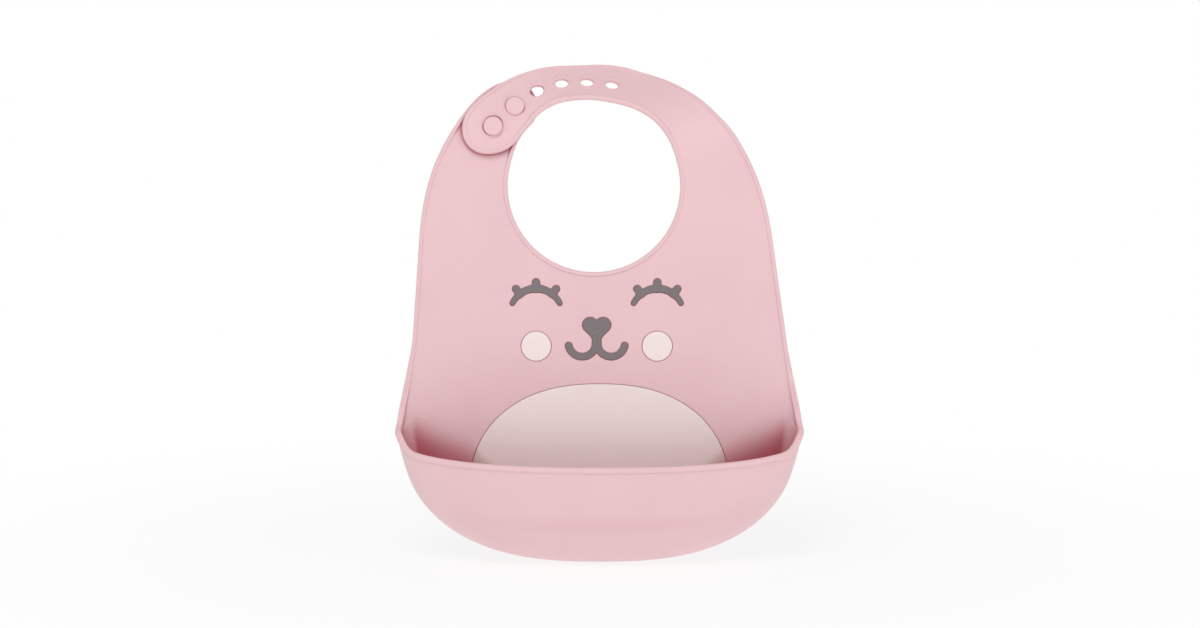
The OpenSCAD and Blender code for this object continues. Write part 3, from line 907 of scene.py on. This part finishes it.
def sheet_points(loop, edges, seams, inlay_loops):
    """All loose points of the sheet: rows along its edges, rings round the inlays, and the fill."""
    loose = [ring_points(line[::-1], edges, seams) for line in edges]
    for outline in inlay_loops:
        loose += [offset_line(outline, -d, True) for d in RECESS_RINGS]
    fill = sheet_fill(loop)
    clear = nearest_edge(fill, edges) > BEAD_RINGS[-1] + FILL_GAP
    clear &= nearest_edge(fill, seams) > FILL_CLEAR
    clear &= nearest_edge(fill, inlay_loops, True) > FILL_CLEAR
    loose.append(fill[clear])
    points = np.concatenate(loose)
    return points[inside(points, loop)]


def front_sheet():
    """Panel and yoke in one piece, from the pocket's root to the two arms."""
    loop, edges, seams = sheet_outline()
    inlay_loops = [outline for outline, _ in INLAYS.values()]
    flat, tris = triangulate([loop], sheet_points(loop, edges, seams, inlay_loops))
    half = edge_swell(nearest_edge(flat, edges), **BEAD)
    front = half.copy()
    for outline in inlay_loops:
        aside = signed_distance(flat, outline) - RECESS_FROM
        front -= RECESS_DEPTH * (1 - ease(aside / RECESS_OVER))
    mid = np.stack([flat[:, 0], np.full(len(flat), MID_Y), flat[:, 1]], -1)
    normal = np.tile([0.0, -1.0, 0.0], (len(flat), 1))
    return shell("front_sheet", mid, normal, front, half, tris)


# ---- The two arms ------------------------------------------------

ARM_MESH = (2.2, 1.9)
ARM_GAP = 0.6  # loose points keep this far beyond the last row along an edge
ARM_CLEAR = 0.9  # and this far from the seam
HOLE_GAP = 0.8  # and this far beyond the last ring round a hole
HOLE_SIDES = 48


def arm_points(loop, seam, free, hole_loops):
    """Loose points of an arm: rows along its edge, rings round its holes, and the fill."""
    loose = [ring_points(free, [free], [seam])]
    fill = lattice(loop, *ARM_MESH)
    fill = fill[inside(fill, loop)]
    clear = edge_distance(fill, free) > BEAD_RINGS[-1] + ARM_GAP
    clear &= edge_distance(fill, seam) > ARM_CLEAR
    for hole in hole_loops:
        centre = hole.mean(0)
        loose += [centre + (hole - centre) * (HOLE_R + d) / HOLE_R for d in COLLAR_RINGS]
        clear &= np.linalg.norm(fill - centre, axis=1) > HOLE_R + COLLAR_RINGS[-1] + HOLE_GAP
    points = np.concatenate(loose + [fill[clear]])
    return points[inside(points, loop)]


def arm_half(flat, free, hole_loops):
    """Half thickness of an arm at each point, with its bead and collars."""
    half = edge_swell(edge_distance(flat, free), **BEAD)
    for hole in hole_loops:
        r = np.linalg.norm(flat - hole.mean(0), axis=1) - HOLE_R
        collar = edge_swell(r, touching=0.02, **COLLAR)
        half = np.where(r < COLLAR_RINGS[-1], collar, half)
    return half


def arm_sheet(name, seam, free, holes, lift, shift):
    """An arm drawn flat, x along its middle and z across it, then wrapped round the neck."""
    loop = np.concatenate([seam[:-1], free[:-1]])
    hole_loops = [circle(x, STRAP_W / 2, HOLE_R, HOLE_SIDES) for x in holes]
    flat, tris = triangulate([loop] + hole_loops, arm_points(loop, seam, free, hole_loops))
    half = arm_half(flat, free, hole_loops)
    phi = flat[:, 0] / ARM_SCALE
    w = flat[:, 1] + shift(phi)
    normal = arm_front(phi, w)
    mid = arm_flat(phi, w) + normal * lift(phi)[:, None]
    return shell(name, mid, normal, half, half, tris)


def strap_sheet():
    """The strap with holes: its loop runs anticlockwise from the seam's inner end."""
    phi = np.linspace(STRAP_ROOT, LAST_HOLE, 130)
    inner = np.stack([phi * ARM_SCALE, strap_cut(phi)], -1)
    outer = np.stack([phi * ARM_SCALE, strap_width(phi)], -1)
    outer[-1, 1] = STRAP_W
    half = STRAP_W / 2
    tip = arc(LAST_HOLE * ARM_SCALE, half, half, half, -90, 90, 60)
    free = dedupe(np.concatenate([inner[:-1], tip[:-1], outer[::-1]]))
    w = seam_stations(float(strap_width(np.array(STRAP_ROOT))))
    seam = np.stack([np.full(len(w), STRAP_ROOT * ARM_SCALE), w], -1)[::-1]
    seam[0], seam[-1] = free[-1], free[0]
    holes = [(LAST_HOLE - k * HOLE_PITCH) * ARM_SCALE for k in range(HOLE_COUNT)]
    return arm_sheet("strap_sheet", seam, free, holes, strap_lift, strap_shift)


def tab_sheet():
    """The tab that carries the studs, behind the strap."""
    phi = np.linspace(TAB_END, TAB_ROOT, 40)
    half = float(tab_width(np.array(TAB_END))) / 2
    a = np.linspace(90, -90, 60)
    tip_x = TAB_END * ARM_SCALE - half * sup_cos(a, TAB_POWER)
    tip_w = half + np.sign(a) * half * sup_sin(np.abs(a), TAB_POWER)
    inner = np.stack([phi * ARM_SCALE, np.zeros(len(phi))], -1)
    outer = np.stack([phi * ARM_SCALE, tab_width(phi)], -1)
    tip = np.stack([tip_x, tip_w], -1)
    free = dedupe(np.concatenate([outer[::-1][:-1], tip[:-1], inner]))
    w = seam_stations(float(tab_width(np.array(TAB_ROOT))))
    seam = np.stack([np.full(len(w), TAB_ROOT * ARM_SCALE), w], -1)
    seam[0], seam[-1] = free[-1], free[0]
    return arm_sheet("tab_sheet", seam, free, [], no_lift, tab_shift)


# ---- Studs -------------------------------------------------------

HEAD_R = 5.4
HEAD_TOP = 6.88  # heights are over the tab's mid-surface
HEAD_LOW = 5.02
HEAD_ROUND = 1.0  # the head's rim is rounded in from its edge by this much
HEAD_DISH = 0.16  # depth of the dish in its top
DISH_POWER = 4
STUD_R = 3.3
THROAT = 0.45  # fillet under the head
FOOT_R = 4.5  # the stud spreads to this radius at its foot
FOOT_TOP = 1.0
FOOT_LOW = 0.6
FOOT_SPREAD = 0.9
STUD_ASIDE = 0.4  # a stud stands this far to the right of its hole's middle
STUD_SIDES = 64


def stud_profile():
    """Points (radius, height) from the dished top, round the head and down to the foot."""
    flat_r, rim_half = HEAD_R - HEAD_ROUND, (HEAD_TOP - HEAD_LOW) / 2
    r = np.linspace(0, flat_r, 6)[:-1]
    dish = np.stack([r, HEAD_TOP - HEAD_DISH * (1 - (r / flat_r) ** DISH_POWER)], -1)
    rim = arc(flat_r, HEAD_LOW + rim_half, HEAD_ROUND, rim_half, 90, -90, 13)
    throat = arc(STUD_R + THROAT, HEAD_LOW - THROAT, THROAT, THROAT, 90, 180, 4)
    foot = arc(FOOT_R, FOOT_TOP + FOOT_SPREAD, FOOT_R - STUD_R, FOOT_SPREAD, 180, 270, 5)
    return np.concatenate([dish, rim, throat, foot, [(FOOT_R, FOOT_LOW), (0, FOOT_LOW)]])


def stud_frame(phi):
    """A stud's foot and its three axes. The strap's pull holds it half-way between square to the
    panel and square to the tab."""
    phi = np.array(phi)
    w = STRAP_W / 2 + strap_shift(phi)
    z = unit(arm_front(phi, w) + [0.0, -1.0, 0.0])
    y = unit(np.cross(z, [cosd(phi), 0.0, sind(phi)]))
    return arm_flat(phi, w) + [STUD_ASIDE, 0, 0], np.cross(y, z), y, z


def stud_piece(name, phi):
    """A mushroom stud, turned about its own axis."""
    base, x, y, z = stud_frame(phi)
    angles = np.linspace(0, 360, STUD_SIDES, endpoint=False)
    verts, rows = [], []
    for r, h in stud_profile():
        spokes = angles if r > 0 else angles[:1]
        ids = [len(verts) + k % len(spokes) for k in range(STUD_SIDES)]
        verts += [base + z * h + r * (cosd(t) * x + sind(t) * y) for t in spokes]
        rows.append(ids)
    faces = []
    for upper, lower in zip(rows, rows[1:]):
        for i in range(STUD_SIDES):
            j = (i + 1) % STUD_SIDES
            face = [upper[i], lower[i], lower[j], upper[j]]
            faces.append([p for k, p in enumerate(face) if p not in face[:k]])
    return new_piece(name, verts, faces)


# ---- Materials ---------------------------------------------------

# Scale, detail and roughness of each noise
CLOUDS = (22.0, 3.0, 0.55)
LINT = (900.0, 1.0, 0.5)
GLOSS = (60.0, 4.0, 0.6)
FINE = (3200.0, 2.0, 0.6)
BROAD = (38.0, 2.0, 0.5)
CLOUD_SPAN = (0.3, 0.7)
LINT_SPAN = (0.74, 0.8)
LINT_SHARE = 0.25
LINT_COLOUR = (0.9, 0.86, 0.86, 1)
PAINTED_SHADE_REACH = 0.042  # metres in which surfaces darken each other, for the painted shade in recesses and creases
PAINTED_SHADE_SAMPLES = 16
PAINTED_SHADE_SPAN = (0.82, 0.54)  # how open a point is where its painted shade starts, and is full
PAINTED_SHADE_FACING = (-0.55, -0.1)  # a face that looks down takes none of the painted shade
GLOSS_LOW, GLOSS_HIGH = -0.06, 0.08  # spread of the surface roughness
SURFACE = {"Specular IOR Level": 0.42, "Sheen Weight": 0.08, "Sheen Roughness": 0.6}


class NodeTree:
    """Short ways to add and join the nodes of one material."""

    def __init__(self, owner):
        owner.use_nodes = True
        self.nodes = owner.node_tree.nodes
        self.links = owner.node_tree.links

    def feed(self, made, inputs):
        """Sets a node's inputs, each to a plain value or to another node's output."""
        for key, value in inputs.items():
            if isinstance(value, bpy.types.NodeSocket):
                self.links.new(value, made.inputs[key])
            else:
                made.inputs[key].default_value = value
        return made

    def add(self, kind, inputs=None, **properties):
        """A new node; its properties are set before its inputs."""
        made = self.nodes.new(kind)
        for key, value in properties.items():
            setattr(made, key, value)
        return self.feed(made, inputs or {})

    def noise(self, place, settings):
        scale, detail, rough = settings
        inputs = {"Vector": place, "Scale": scale, "Detail": detail, "Roughness": rough}
        return self.add("ShaderNodeTexNoise", inputs).outputs["Fac"]

    def span(self, source, low, high, start=0.0, end=1.0, **properties):
        """start to end, as the source goes from low to high."""
        inputs = {"Value": source, "From Min": low, "From Max": high, "To Min": start, "To Max": end}
        return self.add("ShaderNodeMapRange", inputs, **properties).outputs["Result"]

    def times(self, a, b):
        return self.add("ShaderNodeMath", {0: a, 1: b}, operation="MULTIPLY").outputs[0]

    def blend(self, share, a, b, **properties):
        """Colour a with a share of colour b."""
        inputs = {"Factor": share, "A": a, "B": b}
        return self.add("ShaderNodeMix", inputs, data_type="RGBA", **properties).outputs["Result"]

    def camera_ray(self):
        return self.add("ShaderNodeLightPath").outputs["Is Camera Ray"]


def linear(rgb):
    """Linear colour from display values of 0 to 255."""
    return [((c / 255 + 0.055) / 1.055) ** 2.4 for c in rgb] + [1.0]


def painted_shade_mask(tree):
    """Mask of the painted shade: 1 in recesses and creases that don't face down, 0 on open faces."""
    inputs = {"Distance": PAINTED_SHADE_REACH}
    open_sky = tree.add("ShaderNodeAmbientOcclusion", inputs, samples=PAINTED_SHADE_SAMPLES).outputs["AO"]
    normal = tree.add("ShaderNodeNewGeometry").outputs["Normal"]
    up = tree.add("ShaderNodeSeparateXYZ", {"Vector": normal}).outputs["Z"]
    return tree.times(tree.span(open_sky, *PAINTED_SHADE_SPAN), tree.span(up, *PAINTED_SHADE_FACING))


def silicone_colour(tree, place, tone, tint, painted_shade_tint):
    """Clouded colour, with painted shade that makes it darker and redder in recesses and creases, and a
    little pale lint.
    """
    clouds = tree.span(tree.noise(place, CLOUDS), *CLOUD_SPAN)
    colour = tree.blend(clouds, linear(tone), linear(tint))
    # painted shade: the clouded colour multiplied by the shade tint where the mask is 1
    shaded_colour = tree.blend(painted_shade_mask(tree), colour, painted_shade_tint, blend_type="MULTIPLY")
    lint = tree.span(tree.noise(place, LINT), *LINT_SPAN)
    return tree.blend(tree.times(lint, LINT_SHARE), shaded_colour, LINT_COLOUR)


def silicone_relief(tree, place):
    """A fine matt texture on slow waves."""
    fine = {"Strength": 0.18, "Distance": 0.00006, "Height": tree.noise(place, FINE)}
    normal = tree.add("ShaderNodeBump", fine).outputs["Normal"]
    broad = {"Strength": 0.12, "Distance": 0.0006, "Height": tree.noise(place, BROAD)}
    return tree.add("ShaderNodeBump", {**broad, "Normal": normal}).outputs["Normal"]


def silicone(name, tone, tint, painted_shade_tint, rough=0.5):
    """Satin moulded silicone, with painted shade in its recesses and creases."""
    mat = bpy.data.materials.new(name)
    tree = NodeTree(mat)
    tree.nodes.clear()
    place = tree.add("ShaderNodeTexCoord").outputs["Object"]
    gloss = tree.span(tree.noise(place, GLOSS), 0, 1, rough + GLOSS_LOW, rough + GLOSS_HIGH)
    colour = silicone_colour(tree, place, tone, tint, painted_shade_tint)
    inputs = {**SURFACE, "Base Color": colour, "Roughness": gloss}
    inputs["Normal"] = silicone_relief(tree, place)
    shader = tree.add("ShaderNodeBsdfPrincipled", inputs).outputs["BSDF"]
    tree.add("ShaderNodeOutputMaterial", {"Surface": shader})
    return mat


# Each: the material's own tone, its cloud tint, and the tint of the painted shade in its recesses and
# creases
PINK = ((226, 188, 193), (230, 193, 196), (0.62, 0.22, 0.27, 1))
CREAM = ((241, 226, 224), (238, 222, 219), (0.52, 0.3, 0.28, 1))
GREY = ((117, 108, 111), (124, 114, 116), (0.85, 0.8, 0.8, 1))
MATERIALS = {
    "pink_silicone": silicone("pink_silicone", *PINK),
    "cream_silicone": silicone("cream_silicone", *CREAM, rough=0.54),
    "grey_silicone": silicone("grey_silicone", *GREY),
}


def finish(piece, slot):
    piece.data.materials.append(MATERIALS[slot])
    return piece


# ---- Assembly ----------------------------------------------------


def m_point(x, y, z):
    return (x * MM, y * MM, z * MM)


sheet = finish(front_sheet(), "pink_silicone")
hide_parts("face_panel", "neck_yoke")
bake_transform(sheet)

pocket = finish(pocket_piece(), "pink_silicone")
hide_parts("catch_pocket")
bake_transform(pocket)

strap = finish(strap_sheet(), "pink_silicone")
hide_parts("hole_strap")
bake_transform(strap)

tab = finish(tab_sheet(), "pink_silicone")
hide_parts("stud_tab")
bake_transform(tab)

for node_name, hole_phi in (("lower_stud", LAST_HOLE), ("upper_stud", LAST_HOLE - HOLE_PITCH)):
    stud = finish(stud_piece(node_name + "_head", hole_phi), "pink_silicone")
    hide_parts(node_name)
    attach(stud, "tab")

for node_name, (outline, slot_name) in INLAYS.items():
    tablet = finish(inlay_piece(node_name + "_tablet", outline), slot_name)
    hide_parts(node_name)
    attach(tablet, "panel")

# ---- Stage, light and camera -------------------------------------

FLOOR_REACH = 4000.0
FLOOR_GAP = 0.2  # the floor is this far under the object
FLOOR_TONE = (0.97, 0.97, 0.97, 1)
FADE_FROM, FADE_TO = 0.12, 0.55  # metres from the origin between which the glow grows to full
FADE_LEAST = 0.78
GLOW_CAST, GLOW_SEEN = 1.06, 1.0  # the glow that lights the object, and that the camera sees

CAMERA_AIM = (0.3, 0.0, 60.0)
CAMERA_AWAY = 1.62  # metres
CAMERA_RISE = 6.0  # degrees
CAMERA_LENS = 85.0
LIGHT_AIM = (0, 0, 0.06)  # the lights' places and sizes are in metres, their power in watts


def floor_shader(tree):
    """A pale matt floor under the object, fading into a white glow around it."""
    matt = {"Base Color": FLOOR_TONE, "Roughness": 0.9, "Specular IOR Level": 0.1}
    surface = tree.feed(tree.nodes["Principled BSDF"], matt).outputs["BSDF"]
    place = tree.add("ShaderNodeNewGeometry").outputs["Position"]
    away = tree.add("ShaderNodeVectorMath", {0: place}, operation="LENGTH").outputs["Value"]
    smooth = {"interpolation_type": "SMOOTHSTEP"}
    fade = tree.span(away, FADE_FROM, FADE_TO, FADE_LEAST, 1.0, **smooth)
    strength = tree.span(tree.camera_ray(), 0, 1, GLOW_CAST, GLOW_SEEN)
    glow = tree.add("ShaderNodeEmission", {"Strength": strength}).outputs["Emission"]
    return tree.add("ShaderNodeMixShader", {"Fac": fade, 1: surface, 2: glow}).outputs["Shader"]


def floor_piece(z):
    r = FLOOR_REACH
    floor = new_piece("floor", [(-r, -r, z), (r, -r, z), (r, r, z), (-r, r, z)], [[0, 1, 2, 3]])
    mat = bpy.data.materials.new("pale_floor")
    tree = NodeTree(mat)
    tree.feed(tree.nodes["Material Output"], {"Surface": floor_shader(tree)})
    floor.data.materials.append(mat)
    floor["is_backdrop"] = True


def aim(thing, place, target):
    thing.location = place
    thing.rotation_euler = (Vector(target) - Vector(place)).to_track_quat("-Z", "Y").to_euler()
    bpy.context.scene.collection.objects.link(thing)


def area_light(name, place, size, power):
    data = bpy.data.lights.new(name, "AREA")
    data.shape = "DISK"
    data.size = size
    data.energy = power
    light = bpy.data.objects.new(name, data)
    light.visible_camera = False
    aim(light, place, LIGHT_AIM)


def world(fill):
    """White to the camera, and a dimmer even light to everything else."""
    made = bpy.data.worlds.new("studio")
    tree = NodeTree(made)
    strength = tree.span(tree.camera_ray(), 0, 1, fill, 1.0)
    tree.feed(tree.nodes["Background"], {"Color": (1, 1, 1, 1), "Strength": strength})
    bpy.context.scene.world = made


def camera():
    target, rise = Vector(m_point(*CAMERA_AIM)), math.radians(CAMERA_RISE)
    data = bpy.data.cameras.new("camera")
    data.lens = CAMERA_LENS
    cam = bpy.data.objects.new("camera", data)
    aim(cam, target + CAMERA_AWAY * Vector((0, -math.cos(rise), math.sin(rise))), target)
    bpy.context.scene.camera = cam


floor_piece(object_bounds()[0][2] / MM - FLOOR_GAP)
area_light("key", place=(-0.4, -1.5, 1.7), size=1.0, power=15.4)
area_light("fill", place=(1.5, -1.3, 0.6), size=1.2, power=5.0)
world(fill=0.61)
camera()
bpy.context.scene.view_settings.view_transform = "Standard"
